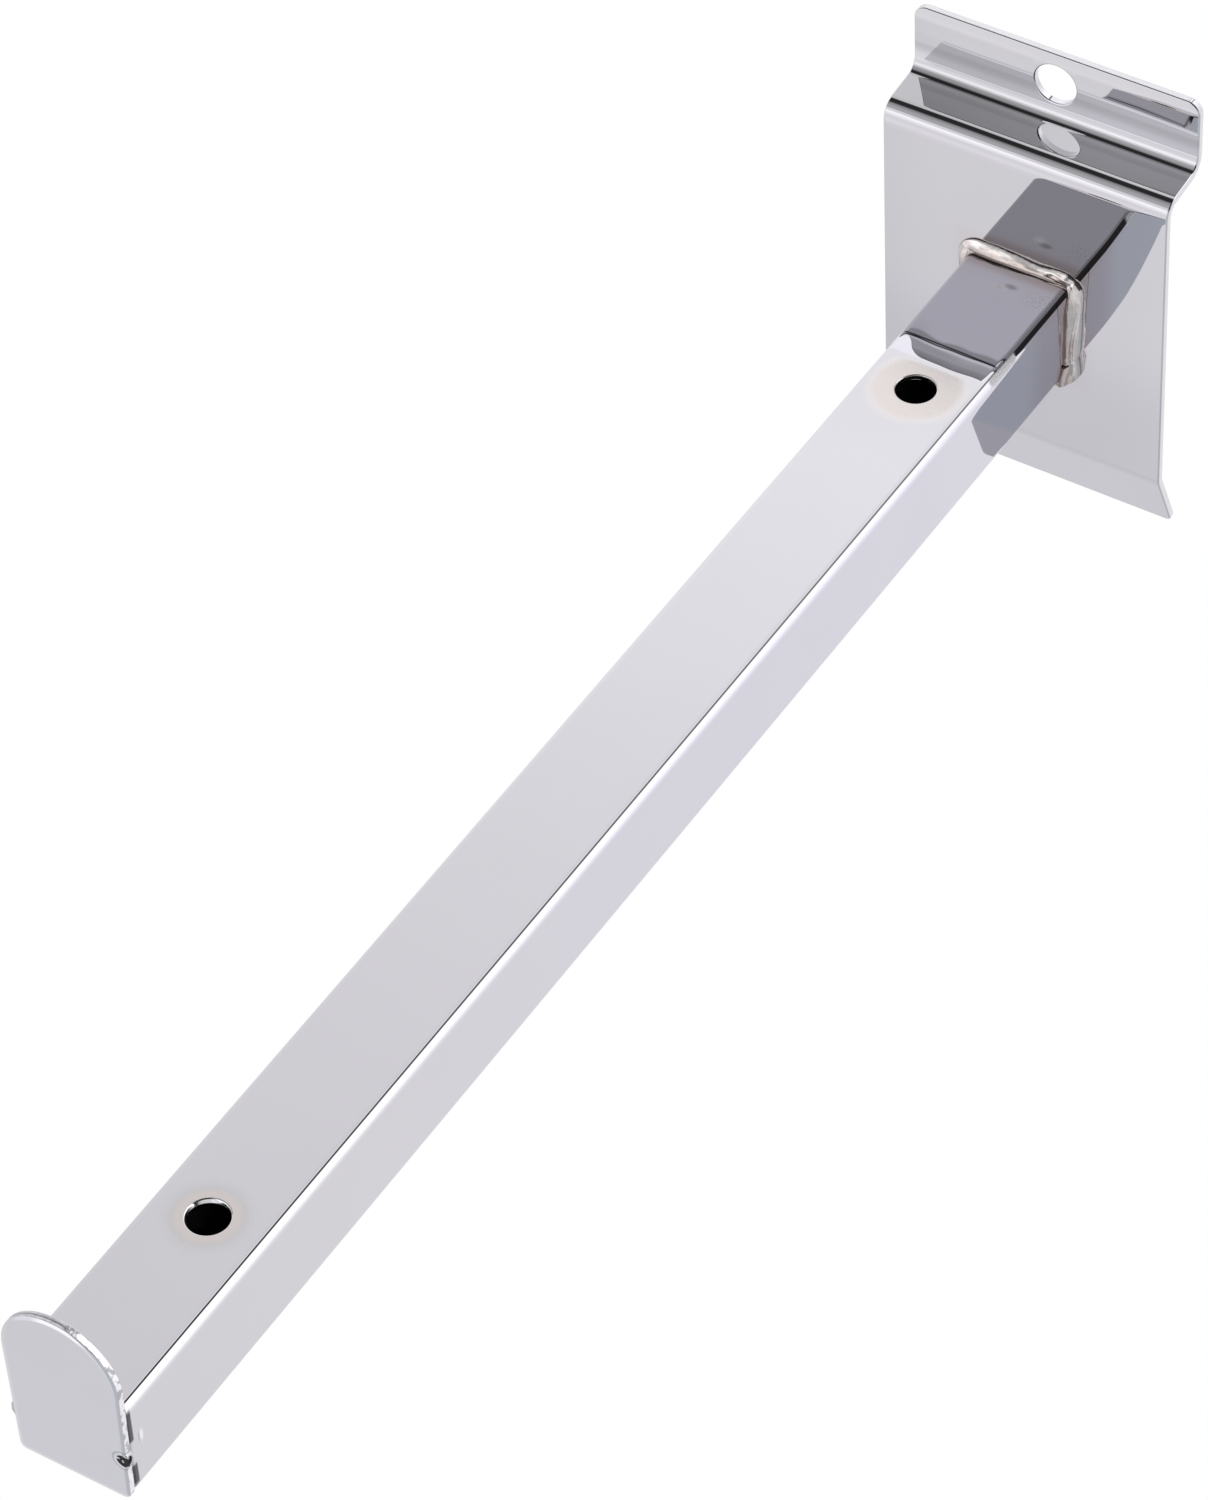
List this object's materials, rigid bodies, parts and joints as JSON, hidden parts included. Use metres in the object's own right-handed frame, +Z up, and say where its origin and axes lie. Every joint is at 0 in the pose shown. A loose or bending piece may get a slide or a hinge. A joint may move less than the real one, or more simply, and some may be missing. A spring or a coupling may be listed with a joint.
{
  "type": "slatwall shelf bracket",
  "caption": "Slatwall shelf bracket: a square tube arm with an upright end stop, welded to a folded back plate that hooks into the panel's grooves.",
  "frame": {"origin": "on the rear face of the back plate, which rests on the slat, on the arm's axis", "axes": "+X to the right as seen from the front, +Y into the wall panel, +Z up; the arm runs along -Y"},
  "size_m": [0.055, 0.2962, 0.0905],
  "materials": {
    "plate": "bright plated",
    "tube": "bright plated, with a cloudy ring round each hole",
    "stop": "bright plated",
    "weld": "rippled weld under the plating"
  },
  "bodies": {
    "root": {"back_plate": "plate", "arm_tube": "tube", "end_stop": "stop", "weld_top": "weld", "weld_right": "weld", "weld_left": "weld", "tack_right": "weld", "tack_left": "weld"}
  },
  "joints": []
}
